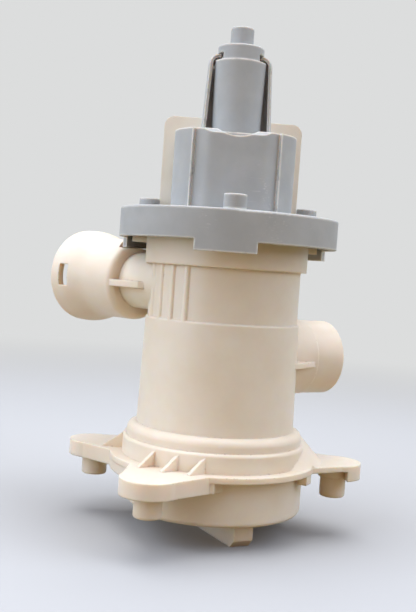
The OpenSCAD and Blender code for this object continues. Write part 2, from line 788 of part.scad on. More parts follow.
module stator_shroud() color([0.58, 0.59, 0.61]) {
  difference() {
    translate([0, 0, shroud_z]) linear_extrude(shroud_h) shroud_2d(0, shroud_back);
    difference() {
      translate([0, 0, shroud_z - 1]) linear_extrude(shroud_h - shroud_wall + 1)
        shroud_2d(shroud_wall, shroud_back + 10);
      translate([-front_half, -shroud_front, shroud_top_z - 6.2])
        cube([2 * front_half, shroud_front - can_r - 0.6, 8]);
    }
    translate([0, 0, shroud_z]) cylinder(r = stem_foot_r + loose_gap, h = 60);
    translate([0, -can_r - 0.6, shroud_top_z + groove_r - groove_depth]) rotate([90, 0, 0])
      cylinder(r = groove_r, h = shroud_front);
    translate([-chamfer_half, -shroud_front, shroud_top_z]) rotate([90, 0, 90])
      linear_extrude(2 * chamfer_half)
        polygon([[-chamfer_back / 2, -1.5 * chamfer_down], [1.5 * chamfer_back, chamfer_down / 2],
          [-chamfer_back / 2, chamfer_down / 2]]);
  }
  snap_arm();
  mirror([1, 0, 0]) snap_arm();
}

module bearing_plate() color([0.8, 0.8, 0.78]) difference() {
  union() {
    translate([0, 0, plate_low_z]) cylinder(r = spigot_r - spigot_wall - loose_gap, h = bearing_plate_t);
    translate([0, 0, plate_low_z]) cylinder(r = can_bore_r - fit_gap, h = hub_top_z - plate_low_z);
  }
  translate([0, 0, plate_low_z - 1]) cylinder(r = lip_seal_r, h = lip_seal_h + 1);
  translate([0, 0, plate_low_z]) cylinder(r = bush_r, h = lip_seal_h + bush_h);
  translate([0, 0, plate_low_z]) cylinder(r = shaft_r + 0.6, h = 40);
}

module shaft_seal() color([0.15, 0.15, 0.15])
  ring(lip_seal_r, shaft_bore_r, plate_low_z, lip_seal_h);

module front_bush() color([0.3, 0.3, 0.32])
  ring(bush_r, shaft_bore_r, plate_low_z + lip_seal_h, bush_h);

module rear_bush() color([0.3, 0.3, 0.32])
  ring(stem_bore_r, shaft_bore_r, rear_bush_z, rear_bush_h);

module thrust_washer() color([0.8, 0.78, 0.7])
  ring(can_bore_r - 0.4, shaft_r + 0.4, can_top_z - can_wall - 0.5, 0.5);

module rotor_magnet() color([0.2, 0.2, 0.22])
  ring(magnet_r, core_r, magnet_z, magnet_h);

module rotor_core() color([0.92, 0.92, 0.9]) {
  difference() {
    union() {
      translate([0, 0, cup_top_z]) cylinder(r = core_r, h = core_top_z - cup_top_z);
      translate([0, 0, cup_z]) cylinder(r = cup_r, h = cup_h + core_floor_t);
      translate([0, 0, magnet_z + magnet_h])
        cylinder(r = magnet_r - 2, h = core_top_z - magnet_z - magnet_h);
    }
    translate([0, 0, cup_z - 1]) cylinder(r = cup_bore_r, h = cup_h + 1);
    translate([0, 0, cup_z]) cylinder(r = shaft_bore_r, h = 60);
  }
  sector(cup_bore_r + 0.3, dog_hub_r + 0.8, tooth_half, 0, cup_z + 0.4, cup_h);
}

module impeller_shaft() color([0.78, 0.78, 0.8])
  translate([0, 0, shaft_low_z]) cylinder(r = shaft_r, h = shaft_top_z - shaft_low_z);

module drive_dog() color([0.25, 0.25, 0.27]) {
  ring(dog_hub_r, shaft_r, dog_z, dog_h);
  sector(dog_r, dog_hub_r - 0.2, dog_half, 180, dog_z + dog_step, dog_h - 2 * dog_step);
}

module dog_buffers() color([0.1, 0.1, 0.1])
  for (s = [-1, 1]) sector(dog_r, dog_hub_r, (buffer_half - dog_half) / 2,
    180 + s * (buffer_half + dog_half) / 2, dog_z + dog_step, dog_h - 2 * dog_step);

module impeller() color([0.75, 0.75, 0.73]) difference() {
  union() {
    translate([0, 0, vane_top_z]) cylinder(r = impeller_r, h = back_disc_t);
    translate([0, 0, vane_z]) foot_disc(hub_r, vane_h + 1, 1);
    for (i = [0 : vane_n - 1]) rotate([0, 0, i * 360 / vane_n]) intersection() {
      translate([hub_r - 2, -vane_t / 2, vane_z + 1]) cube([40, vane_t, vane_h]);
      cylinder(r = impeller_r - 0.4, h = 200);
    }
  }
  translate([0, 0, shaft_low_z]) cylinder(r = shaft_r, h = 60);
}

// Plan outline of the right lamination leg with its pole
module pole_2d() {
  intersection() {
    shroud_2d(shroud_wall + 0.4, 16);
    translate([pole_gap / 2, -20]) square([30, 36]);
    difference() {
      square([100, 100], center = true);
      circle(pole_bore_r);
    }
  }
  translate([leg_in, 14]) square([leg_w, core_back - 14]);
}

// Places of the rivets on the right leg
function rivets() = [[leg_out - 4, 0], [leg_in + leg_w / 2, core_back - yoke_w / 2]];

module pole_right() {
  translate([0, 0, stack_z]) linear_extrude(stack_t) difference() {
    pole_2d();
    for (p = rivets()) translate(p) circle(rivet_r);
  }
}

module stator_pole_right() color([0.45, 0.45, 0.47]) pole_right();

module stator_pole_left() color([0.45, 0.45, 0.47]) mirror([1, 0, 0]) pole_right();

module stator_yoke() color([0.45, 0.45, 0.47])
  translate([-leg_in, core_back - yoke_w, stack_z]) cube([2 * leg_in, yoke_w, stack_t]);

module core_rivets() color([0.7, 0.7, 0.72])
  for (s = [-1, 1], p = rivets()) translate([s * p[0], p[1], stack_z]) {
    translate([0, 0, -rivet_head_h]) cylinder(r = rivet_r, h = stack_t + 2 * rivet_head_h);
    translate([0, 0, stack_t]) cylinder(r = rivet_head_r, h = rivet_head_h);
    translate([0, 0, -rivet_head_h]) cylinder(r = rivet_head_r, h = rivet_head_h);
  }

// Box round one leg, grown by a distance, with the leg along +Y
module leg_box(grow, y0, y1, corner) {
  translate([leg_in + leg_w / 2, y1, stack_mid]) rotate([90, 0, 0]) linear_extrude(y1 - y0)
    if (corner > 0) rounded_rect(leg_w + 2 * grow, stack_t + 2 * grow, corner);
    else square([leg_w + 2 * grow, stack_t + 2 * grow], center = true);
}

module cheek(y, half, z, h) translate([0, y + cheek_t, z + h / 2]) rotate([90, 0, 0])
  linear_extrude(cheek_t) rounded_rect(2 * half, h, cheek_round);

module coil_bobbin() color([0.9, 0.86, 0.76]) difference() {
  union() {
    cheek(bobbin_front, cheek_half, cheek_z, cheek_h);
    cheek(bobbin_back - cheek_t, cheek_half, cheek_z, rear_cheek_h);
    for (s = [0, 1]) mirror([s, 0, 0]) leg_box(tube_out, bobbin_front + 1, bobbin_back - 1, 1);
    translate([-13, bobbin_back - 9, block_z]) cube([26, 12, block_h]);
  }
  for (s = [0, 1]) mirror([s, 0, 0]) leg_box(tube_gap, bobbin_front - 1, bobbin_back + 1, 0);
  for (s = [-1, 1]) translate([s * tab_x - tab_width / 2, bobbin_back - tab_sink, tab_low_z])
    cube([tab_width, tab_len + tab_sink, tab_t]);
}

module winding() difference() {
  leg_box(tube_out + winding_t, bobbin_front + cheek_t + 0.1, bobbin_back - cheek_t - 0.1, 4);
  leg_box(tube_out, bobbin_front, bobbin_back, 1);
}

module winding_right() color([0.72, 0.43, 0.2]) winding();

module winding_left() color([0.72, 0.43, 0.2]) mirror([1, 0, 0]) winding();

module coil_tape() color([0.86, 0.82, 0.7])
  for (s = [0, 1]) mirror([s, 0, 0]) difference() {
    leg_box(tape_out, bobbin_front + cheek_t, bobbin_back - cheek_t, 4.5);
    leg_box(tube_out + winding_t, bobbin_front, bobbin_back, 4);
  }

module terminal_tabs() color([0.8, 0.78, 0.7])
  for (s = [-1, 1]) translate([s * tab_x - tab_width / 2, bobbin_back - tab_sink, tab_low_z]) difference() {
    cube([tab_width, tab_len, tab_t]);
    translate([tab_width / 2, tab_hole_y, -tab_t]) cylinder(r = tab_hole_r, h = 3 * tab_t);
  }

pump_housing();
filter_cap();
filter_strainer();
cap_seal();
motor_base();
base_seal();
base_screws();
stator_shroud();
bearing_plate();
shaft_seal();
front_bush();
rear_bush();
thrust_washer();
rotor_magnet();
rotor_core();
impeller_shaft();
drive_dog();
dog_buffers();
impeller();
stator_pole_left();
stator_pole_right();
stator_yoke();
core_rivets();
coil_bobbin();
winding_left();
winding_right();
coil_tape();
terminal_tabs();
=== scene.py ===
"""Washer drain pump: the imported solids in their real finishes, in a pale studio."""

import logging
import math
import random
from dataclasses import dataclass
from enum import Enum

import bmesh
import bpy
from mathutils import Matrix, Vector


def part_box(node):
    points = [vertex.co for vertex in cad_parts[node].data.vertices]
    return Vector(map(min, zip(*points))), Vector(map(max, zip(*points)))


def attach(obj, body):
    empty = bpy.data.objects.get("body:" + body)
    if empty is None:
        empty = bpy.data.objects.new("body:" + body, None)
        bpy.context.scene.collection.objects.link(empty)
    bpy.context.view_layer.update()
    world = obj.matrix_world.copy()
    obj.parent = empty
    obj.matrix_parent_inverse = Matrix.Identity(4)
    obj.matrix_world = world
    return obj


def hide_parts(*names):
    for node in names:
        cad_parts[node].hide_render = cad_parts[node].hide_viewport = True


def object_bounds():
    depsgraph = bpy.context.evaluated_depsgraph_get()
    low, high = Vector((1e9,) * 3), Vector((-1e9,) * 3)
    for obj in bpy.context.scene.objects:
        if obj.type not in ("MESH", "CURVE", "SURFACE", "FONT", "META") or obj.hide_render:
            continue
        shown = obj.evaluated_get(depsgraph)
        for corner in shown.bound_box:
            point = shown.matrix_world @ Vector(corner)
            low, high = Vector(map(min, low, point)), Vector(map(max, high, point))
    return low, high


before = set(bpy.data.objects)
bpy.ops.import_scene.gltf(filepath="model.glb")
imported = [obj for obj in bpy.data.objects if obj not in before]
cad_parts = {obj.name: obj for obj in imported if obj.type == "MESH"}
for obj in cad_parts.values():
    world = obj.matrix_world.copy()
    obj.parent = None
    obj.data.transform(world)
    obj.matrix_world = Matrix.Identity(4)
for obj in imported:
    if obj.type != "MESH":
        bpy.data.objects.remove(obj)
CAD_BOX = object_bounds()

LOG = logging.getLogger("drain_pump")
MM = 0.001

# Sockets of the mix node while it mixes colours
MIX_SHARE = 0
MIX_UNDER = 6
MIX_OVER = 7
MIX_COLOUR = 2
# Blender draws 20 radians of a wave over one unit at a scale of 1
WAVE_RADIANS = 20
# How far green and blue light travels in a pale plastic, against red
GLOW_SPREAD = (1.0, 0.62, 0.36)
# Rays that look for a rounded edge or for a corner to paint shade into, and those that look for an
# edge that gets a soiled colour or, on the grey, a pale colour that is partly rubbed and partly a
# painted highlight
EDGE_RAYS = 8
RUB_AND_HIGHLIGHT_RAYS = 6


def linear(hex_colour: str) -> tuple[float, float, float, float]:
    """Turns an sRGB hex colour into linear colour.

    Args:
        hex_colour: Colour as six hex digits after a hash sign.

    Returns:
        Linear red, green and blue, and an alpha of 1.
    """
    parts = [int(hex_colour[i:i + 2], 16) / 255 for i in (1, 3, 5)]
    red, green, blue = (p / 12.92 if p <= 0.04045 else ((p + 0.055) / 1.055) ** 2.4 for p in parts)
    return red, green, blue, 1.0


def add_node(
    tree: bpy.types.NodeTree,
    kind: str,
    settings: dict[str | int, object] | None = None,
    links: dict[str | int, bpy.types.NodeSocket] | None = None,
) -> bpy.types.Node:
    """Adds one shader node with its settings and links.

    Args:
        tree: Node tree that takes the node.
        kind: Blender's name for the kind of node.
        settings: Values by property name, or by input name or number.
        links: Output sockets by the name or number of the input that they feed.

    Returns:
        The new node.
    """
    node = tree.nodes.new(kind)
    for key, value in (settings or {}).items():
        if isinstance(key, str) and hasattr(node, key):
            setattr(node, key, value)
        else:
            node.inputs[key].default_value = value
    for key, output in (links or {}).items():
        tree.links.new(output, node.inputs[key])
    return node


class Skin(Enum):
    """How a surface breaks up at close range."""

    SPARKED = "grain left by a spark-eroded mould"
    PRESSED = "pits of a pressed powder"
    WOUND = "turns that lie side by side along the coil"
    TURNED = "rings left by grinding between centres"
    STACKED = "sheared edges of stamped sheets, one above the other"


@dataclass(frozen=True)
class Finish:
    """A real surface: what it is made of, how it was made and how it takes the light.

    Attributes:
        name: Common name of the material and how its surface was made.
        colour: Main colour.
        shade: Colour of the soft clouds in it.
        roughness: Roughness of the surface.
        ior: Refractive index; a metal keeps the default.
        metallic: 1 for bare metal.
        skin: How it breaks up at close range.
        grain_mm: Spacing of that pattern.
        depth_mm: Height of that pattern.
        cloud_mm: Size of the clouds of colour.
        glow: Share of light that goes through the skin of a pale plastic.
        glow_mm: How far that light travels inside.
        edge_mm: Radius of the moulded or rolled edges, or 0 for sharp ones.
        sheen_level: Strength of the reflection, 0.5 for a clean surface and less for a dusty one.
        rub_and_highlight: Colour of the marked edges, or nothing: a dark one is soil from handling, a
            pale one is partly rubbed and partly a painted highlight.
        rub_and_highlight_mm: Width of a marked edge.
        rub_and_highlight_patch_mm: Length of the marked stretches.
        rub_and_highlight_from: How sparse they are, from 0 for a whole edge to 1 for none.
        scuff: Colour of short scratches from handling, or nothing.
        corner_shade: Colour of the painted shade in inner corners, or nothing.
        corner_shade_mm: How far out of a corner the painted shade reaches.
    """

    name: str
    colour: str
    shade: str
    roughness: float
    ior: float = 1.5
    metallic: float = 0.0
    skin: Skin = Skin.SPARKED
    grain_mm: float = 0.6
    depth_mm: float = 0.012
    cloud_mm: float = 22.0
    glow: float = 0.0
    glow_mm: float = 1.5
    edge_mm: float = 0.3
    sheen_level: float = 0.5
    rub_and_highlight: str = ""
    rub_and_highlight_mm: float = 0.7
    rub_and_highlight_patch_mm: float = 4.5
    rub_and_highlight_from: float = 0.3
    scuff: str = ""
    corner_shade: str = ""
    corner_shade_mm: float = 5.0

    def material(self) -> bpy.types.Material:
        """Makes the material once and returns it."""
        cloud_low = 0.34
        cloud_high = 0.66
        gloss_swing = 0.05
        made = bpy.data.materials.get(self.name)
        if made:
            return made
        made = bpy.data.materials.new(self.name)
        made.use_nodes = True
        tree = made.node_tree
        shader = tree.nodes["Principled BSDF"]
        shader.inputs["IOR"].default_value = self.ior
        shader.inputs["Metallic"].default_value = self.metallic
        shader.inputs["Specular IOR Level"].default_value = self.sheen_level
        shader.inputs["Subsurface Weight"].default_value = self.glow
        shader.inputs["Subsurface Radius"].default_value = GLOW_SPREAD
        shader.inputs["Subsurface Scale"].default_value = self.glow_mm * MM
        place = add_node(tree, "ShaderNodeTexCoord").outputs["Object"]
        cloud = add_node(
            tree,
            "ShaderNodeTexNoise",
            {"Scale": 1 / (self.cloud_mm * MM), "Detail": 4.0, "Roughness": 0.55},
            {"Vector": place},
        )
        spread = add_node(
            tree,
            "ShaderNodeMapRange",
            {"From Min": cloud_low, "From Max": cloud_high},
            {"Value": cloud.outputs["Fac"]},
        )
        tint = add_node(
            tree,
            "ShaderNodeMix",
            {"data_type": "RGBA", MIX_UNDER: linear(self.colour), MIX_OVER: linear(self.shade)},
            {MIX_SHARE: spread.outputs["Result"]},
        ).outputs[MIX_COLOUR]
        if self.skin is Skin.STACKED:
            tint = self.uneven_sheets(tree, place, tint)
        # Painted shade: inner corners drift towards a darker warm colour, the more hemmed in they are
        if self.corner_shade:
            tint = self.paint_corner_shade(tree, tint)
        if self.scuff:
            tint = self.scratches(tree, place, tint)
        # Edge marks: soil on the ivory; on the grey, pale edges that are partly rubbed and partly a
        # painted highlight
        if self.rub_and_highlight:
            tint = self.rubbed_and_highlit_edges(tree, place, tint)
        tree.links.new(tint, shader.inputs["Base Color"])
        gloss = add_node(
            tree,
            "ShaderNodeMapRange",
            {"To Min": self.roughness - gloss_swing, "To Max": self.roughness + gloss_swing},
            {"Value": spread.outputs["Result"]},
        )
        tree.links.new(gloss.outputs["Result"], shader.inputs["Roughness"])
        bump = add_node(
            tree,
            "ShaderNodeBump",
            {"Strength": 1.0, "Distance": self.depth_mm * MM},
            {"Height": self.skin_height(tree, place)},
        )
        if self.edge_mm:
            edge = add_node(
                tree, "ShaderNodeBevel", {"samples": EDGE_RAYS, "Radius": self.edge_mm * MM}
            )
            tree.links.new(edge.outputs["Normal"], bump.inputs["Normal"])
        tree.links.new(bump.outputs["Normal"], shader.inputs["Normal"])
        return made

    def skin_height(
        self, tree: bpy.types.NodeTree, place: bpy.types.NodeSocket
    ) -> bpy.types.NodeSocket:
        """Draws the pattern of the skin.

        Args:
            tree: Node tree of the material.
            place: Point on the object, in metres.

        Returns:
            Height of the pattern, from 0 to 1.
        """
        pitch = self.grain_mm * MM
        if self.skin is Skin.PRESSED:
            return add_node(
                tree, "ShaderNodeTexVoronoi", {"Scale": 1 / pitch}, {"Vector": place}
            ).outputs["Distance"]
        if self.skin is Skin.SPARKED:
            return add_node(
                tree,
                "ShaderNodeTexNoise",
                {"Scale": 1 / pitch, "Detail": 3.0, "Roughness": 0.6},
                {"Vector": place},
            ).outputs["Fac"]
        # Turns of wire follow each other along the coil; rings and sheets follow each other upwards
        return add_node(
            tree,
            "ShaderNodeTexWave",
            {
                "wave_type": "BANDS",
                "bands_direction": "Y" if self.skin is Skin.WOUND else "Z",
                "Scale": math.tau / (WAVE_RADIANS * pitch),
                "Distortion": 0.0,
            },
            {"Vector": place},
        ).outputs["Fac"]

    def uneven_sheets(
        self, tree: bpy.types.NodeTree, place: bpy.types.NodeSocket, tint: bpy.types.NodeSocket
    ) -> bpy.types.NodeSocket:
        """Gives each sheet of a stack its own tone.

        Args:
            tree: Node tree of the material.
            place: Point on the object, in metres.
            tint: Colour of the surface without the change.

        Returns:
            Colour that changes from sheet to sheet.
        """
        darkest = linear("#3f3f40")
        most = 0.55
        height = add_node(tree, "ShaderNodeSeparateXYZ", links={0: place}).outputs["Z"]
        count = add_node(
            tree, "ShaderNodeMath", {"operation": "DIVIDE", 1: self.grain_mm * MM}, {0: height}
        )
        sheet = add_node(tree, "ShaderNodeMath", {"operation": "FLOOR"}, {0: count.outputs["Value"]})
        chance = add_node(
            tree, "ShaderNodeTexWhiteNoise", {"noise_dimensions": "1D"}, {"W": sheet.outputs["Value"]}
        )
        share = add_node(
            tree, "ShaderNodeMapRange", {"To Max": most}, {"Value": chance.outputs["Value"]}
        )
        return add_node(
            tree,
            "ShaderNodeMix",
            {"data_type": "RGBA", MIX_OVER: darkest},
            {MIX_SHARE: share.outputs["Result"], MIX_UNDER: tint},
        ).outputs[MIX_COLOUR]

    def paint_corner_shade(
        self, tree: bpy.types.NodeTree, tint: bpy.types.NodeSocket
    ) -> bpy.types.NodeSocket:
        """Paints shade into inner corners, darker and warmer the more hemmed in they are.

        Args:
            tree: Node tree of the material.
            tint: Colour of the surface without the painted shade.

        Returns:
            Colour with the painted shade in its corners.
        """
        # How open a point is where the painted shade starts, and where it is full
        unshaded_from = 0.8
        full_shade_from = 0.2
        most = 0.45
        hollow = add_node(
            tree, "ShaderNodeAmbientOcclusion", {"samples": EDGE_RAYS, "Distance": self.corner_shade_mm * MM}
        )
        share = add_node(
            tree,
            "ShaderNodeMapRange",
            {"From Min": unshaded_from, "From Max": full_shade_from, "To Max": most},
            {"Value": hollow.outputs["AO"]},
        )
        return add_node(
            tree,
            "ShaderNodeMix",
            {"data_type": "RGBA", MIX_OVER: linear(self.corner_shade)},
            {MIX_SHARE: share.outputs["Result"], MIX_UNDER: tint},
        ).outputs[MIX_COLOUR]

    def scratches(
        self, tree: bpy.types.NodeTree, place: bpy.types.NodeSocket, tint: bpy.types.NodeSocket
    ) -> bpy.types.NodeSocket:
        """Draws short slanting scratches in a few places.

        Args:
            tree: Node tree of the material.
            place: Point on the object, in metres.
            tint: Colour of the surface without scratches.

        Returns:
            Colour with the scratches in it.
        """
        length = 7 * MM
        width = 0.5 * MM
        patch_size = 16 * MM
        lean = (0.5, 0.9, 0.3)
        line_from = 0.62
        line_full = 0.72
        most = 0.75
        worn_from = 0.56
        worn_full = 0.7
        slant = add_node(
            tree,
            "ShaderNodeMapping",
            {"Rotation": lean, "Scale": (1 / length, 1 / width, 1 / width)},
            {"Vector": place},
        )
        streak = add_node(
            tree,
            "ShaderNodeTexNoise",
            {"Scale": 1.0, "Detail": 1.0},
            {"Vector": slant.outputs["Vector"]},
        )
        line = add_node(
            tree,
            "ShaderNodeMapRange",
            {"From Min": line_from, "From Max": line_full, "To Max": most},
            {"Value": streak.outputs["Fac"]},
        )
        patch = add_node(
            tree, "ShaderNodeTexNoise", {"Scale": 1 / patch_size, "Detail": 2.0}, {"Vector": place}
        )
        worn = add_node(
            tree,
            "ShaderNodeMapRange",
            {"From Min": worn_from, "From Max": worn_full},
            {"Value": patch.outputs["Fac"]},
        )
        share = add_node(
            tree,
            "ShaderNodeMath",
            {"operation": "MULTIPLY"},
            {0: line.outputs["Result"], 1: worn.outputs["Result"]},
        )
        return add_node(
            tree,
            "ShaderNodeMix",
            {"data_type": "RGBA", MIX_OVER: linear(self.scuff)},
            {MIX_SHARE: share.outputs["Value"], MIX_UNDER: tint},
        ).outputs[MIX_COLOUR]

    def rubbed_and_highlit_edges(
        self, tree: bpy.types.NodeTree, place: bpy.types.NodeSocket, tint: bpy.types.NodeSocket
    ) -> bpy.types.NodeSocket:
        """Gives edges another colour in broken lengths: soiled by handling on the ivory, and on the
        grey a pale colour that is partly rubbed and partly a painted highlight.

        Args:
            tree: Node tree of the material.
            place: Point on the object, in metres.
            tint: Colour of the surface without the edge marks.

        Returns:
            Colour with the soiled, rubbed and painted highlight edges in it.
        """
        turned_from = 0.98
        turned_full = 0.86
        most = 0.95
        patch_fade = 0.16
        rounded = add_node(
            tree, "ShaderNodeBevel", {"samples": RUB_AND_HIGHLIGHT_RAYS, "Radius": self.rub_and_highlight_mm * MM}
        )
        flat = add_node(tree, "ShaderNodeNewGeometry")
        turn = add_node(
            tree,
            "ShaderNodeVectorMath",
            {"operation": "DOT_PRODUCT"},
            {0: rounded.outputs["Normal"], 1: flat.outputs["Normal"]},
        )
        edge = add_node(
            tree,
            "ShaderNodeMapRange",
            {"From Min": turned_from, "From Max": turned_full, "To Max": most},
            {"Value": turn.outputs["Value"]},
        )
        patch = add_node(
            tree,
            "ShaderNodeTexNoise",
            {"Scale": 1 / (self.rub_and_highlight_patch_mm * MM), "Detail": 5.0, "Roughness": 0.7},
            {"Vector": place},
        )
        broken = add_node(
            tree,
            "ShaderNodeMapRange",
            {"From Min": self.rub_and_highlight_from, "From Max": self.rub_and_highlight_from + patch_fade},
            {"Value": patch.outputs["Fac"]},
        )
        worn_and_highlit = add_node(
            tree,
            "ShaderNodeMath",
            {"operation": "MULTIPLY"},
            {0: edge.outputs["Result"], 1: broken.outputs["Result"]},
        )
        return add_node(
            tree,
            "ShaderNodeMix",
            {"data_type": "RGBA", MIX_OVER: linear(self.rub_and_highlight)},
            {MIX_SHARE: worn_and_highlit.outputs["Value"], MIX_UNDER: tint},
        ).outputs[MIX_COLOUR]


# Moulded polypropylene, natural ivory: waxy, half matt, and light soaks into it and comes back warm;
# inner corners carry a painted warm shade, and edges carry dark specks soiled by handling
IVORY_HOUSING = Finish(
    "moulded_ivory_polypropylene", "#ebe0d0", "#e5d8c4", 0.42, 1.49, glow=0.5, glow_mm=4.0,
    grain_mm=0.7, edge_mm=0.8, corner_shade="#bd9a68", rub_and_highlight="#8d6c48", rub_and_highlight_mm=1.2, rub_and_highlight_patch_mm=1.8,
    rub_and_highlight_from=0.56,
)
# The same resin from another mould: a little paler and duller, with the same painted shade in its
# corners and the same soiled edge specks
IVORY_CAP = Finish(
    "moulded_ivory_polypropylene_cap", "#efe2cf", "#e8dac4", 0.46, 1.49, glow=0.5, glow_mm=4.0,
    grain_mm=0.7, edge_mm=0.8, corner_shade="#bd9a68", rub_and_highlight="#8d6c48", rub_and_highlight_mm=1.2, rub_and_highlight_patch_mm=1.8,
    rub_and_highlight_from=0.56,
)
# Moulded nylon of the bobbin: pale, a little harder and glossier than the housing
IVORY_BOBBIN = Finish(
    "moulded_ivory_nylon", "#ede7d9", "#e6decd", 0.4, 1.53, glow=0.15, glow_mm=1.5, grain_mm=0.6,
    edge_mm=0.5,
)
# Moulded glass-filled polypropylene, light grey: matt, mottled by its fibres, with pale scratches, and
# pale edges that are partly rubbed and partly a painted highlight
GREY_BASE = Finish(
    "moulded_grey_glass_filled_polypropylene", "#acaead", "#a4a6a5", 0.58, 1.5, glow=0.25,
    glow_mm=2.5, grain_mm=0.55, depth_mm=0.018, cloud_mm=12.0, edge_mm=0.6, sheen_level=0.3,
    rub_and_highlight="#eceae2", rub_and_highlight_mm=1.7, scuff="#cfcfca",
)
# The shroud's own grey, a shade lighter than the base, with the same scratches and pale edges that are
# partly rubbed and partly a painted highlight
GREY_SHROUD = Finish(
    "moulded_grey_polypropylene", "#afb1b0", "#a7a9a8", 0.56, 1.5, glow=0.35, glow_mm=3.0,
    grain_mm=0.55, depth_mm=0.015, cloud_mm=12.0, edge_mm=0.5, sheen_level=0.3, rub_and_highlight="#eceae2",
    rub_and_highlight_mm=1.5, scuff="#cfcfca",
)
# Moulded acetal, natural white: smooth and slightly see-through
NATURAL_ACETAL = Finish(
    "moulded_natural_acetal", "#e4e2d8", "#dbd8cb", 0.35, 1.48, glow=0.2, glow_mm=1.5
)
# Moulded acetal of the impeller, a dull light grey
IMPELLER_ACETAL = Finish("moulded_grey_acetal", "#c1c1bd", "#b7b7b1", 0.4, 1.48, grain_mm=0.5)
# Moulded dark nylon of the drive dog: near black, half matt
DARK_NYLON = Finish(
    "moulded_dark_nylon", "#3a3b3d", "#333436", 0.45, 1.53, grain_mm=0.5, depth_mm=0.02
)
# Moulded nitrile rubber: black, with a dusty soft sheen
BLACK_NITRILE = Finish(
    "moulded_black_nitrile_rubber", "#242423", "#2c2b29", 0.7, 1.52, grain_mm=0.5, depth_mm=0.02
)
# Sintered ferrite: charcoal grey, dense and pitted
FERRITE = Finish(
    "sintered_ferrite", "#3d3d3f", "#353537", 0.55, 1.6, skin=Skin.PRESSED, grain_mm=0.5, depth_mm=0.03
)
# Sintered bronze: dull brown metal, open pores that hold oil
SINTERED_BRONZE = Finish(
    "sintered_bronze", "#a08a6c", "#8d775a", 0.5, metallic=1.0, skin=Skin.PRESSED, grain_mm=0.5,
    depth_mm=0.04,
)
# Ground stainless steel shaft: bright rings too fine to see, drawn at 0.4 mm so that they show
GROUND_STEEL = Finish(
    "ground_stainless_steel", "#c9cacb", "#bfc0c2", 0.25, metallic=1.0, skin=Skin.TURNED,
    grain_mm=0.4, depth_mm=0.004,
)
# Zinc plated steel: bluish white metal with a cloudy passivated skin
ZINC_STEEL = Finish(
    "zinc_plated_steel", "#c3c6c6", "#b4b5ae", 0.33, metallic=1.0, grain_mm=0.4, depth_mm=0.008,
    cloud_mm=3.0,
)
# Stamped silicon steel: dark grey oxide skin, with sheared edges that differ from sheet to sheet
SILICON_STEEL = Finish(
    "stamped_silicon_steel", "#8a8b8d", "#77787a", 0.42, metallic=1.0, skin=Skin.STACKED, grain_mm=0.5,
    depth_mm=0.02, cloud_mm=6.0, edge_mm=0.0,
)
# Enamelled copper wire: warm metal under clear varnish, turns drawn at 0.6 mm
ENAMELLED_COPPER = Finish(
    "enamelled_copper_wire", "#b4673a", "#9c5530", 0.28, metallic=1.0, skin=Skin.WOUND,
    grain_mm=0.6, depth_mm=0.15,
)
# Polyester coil tape: thin film with a soft gloss that yellows over the adhesive
POLYESTER_TAPE = Finish(
    "laid_polyester_film_tape", "#d2c79e", "#c4b688", 0.32, 1.57, grain_mm=1.4, depth_mm=0.04,
    cloud_mm=9.0,
)
# Tinned brass: pale grey-yellow metal, smeared by the dip
TINNED_BRASS = Finish(
    "tinned_brass", "#cfc8b2", "#c2b795", 0.3, metallic=1.0, grain_mm=0.8, depth_mm=0.01, cloud_mm=3.0
)


def dress_node(name: str, finish: Finish) -> None:
    """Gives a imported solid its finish.

    Args:
        name: Name of the node.
        finish: Finish that covers it.
    """
    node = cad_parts[name]
    node.data.materials.clear()
    node.data.materials.append(finish.material())
    LOG.info("%s: %s", name, finish.name)


def add_piece(
    name: str, mesh: bmesh.types.BMesh, finish: Finish, body: str
) -> bpy.types.Object:
    """Turns a mesh into a piece that rides on a body.

    Args:
        name: Name of the piece.
        mesh: Its mesh, in metres, which is freed.
        finish: Finish that covers it.
        body: Body that carries it.

    Returns:
        The new object.
    """
    data = bpy.data.meshes.new(name)
    bmesh.ops.recalc_face_normals(mesh, faces=mesh.faces)
    mesh.to_mesh(data)
    mesh.free()
    piece = bpy.data.objects.new(name, data)
    bpy.context.scene.collection.objects.link(piece)
    data.materials.append(finish.material())
    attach(piece, body)
    LOG.info("%s: %s on %s", name, finish.name, body)
    return piece


@dataclass
class FilterHousing:
    """Ivory moulding with the plate, chamber, volute and both hose ends."""

    def dress(self) -> None:
        """Finishes the housing."""
        dress_node("pump_housing", IVORY_HOUSING)


@dataclass
class FilterPlug:
    """Screw-in cap with its strainer and seal."""

    def dress(self) -> None:
        """Finishes the cap, the strainer and the seal."""
        dress_node("filter_cap", IVORY_CAP)
        dress_node("filter_strainer", NATURAL_ACETAL)
        dress_node("cap_seal", BLACK_NITRILE)


@dataclass
class RotorGroup:
    """Magnet, shaft, drive and impeller with their bearings."""

    def dress(self) -> None:
        """Finishes everything that turns and what it runs in."""
        dress_node("bearing_plate", NATURAL_ACETAL)
        dress_node("shaft_seal", BLACK_NITRILE)
        dress_node("front_bush", SINTERED_BRONZE)
        dress_node("rear_bush", SINTERED_BRONZE)
        dress_node("thrust_washer", NATURAL_ACETAL)
        dress_node("rotor_magnet", FERRITE)
        dress_node("rotor_core", NATURAL_ACETAL)
        dress_node("impeller_shaft", GROUND_STEEL)
        dress_node("drive_dog", DARK_NYLON)
        dress_node("dog_buffers", BLACK_NITRILE)
        dress_node("impeller", IMPELLER_ACETAL)


@dataclass
class MotorCase:
    """Grey base and shroud with their screws and seal."""

    def dress(self) -> None:
        """Finishes the case."""
        dress_node("motor_base", GREY_BASE)
        dress_node("stator_shroud", GREY_SHROUD)
        dress_node("base_screws", ZINC_STEEL)
        dress_node("base_seal", BLACK_NITRILE)


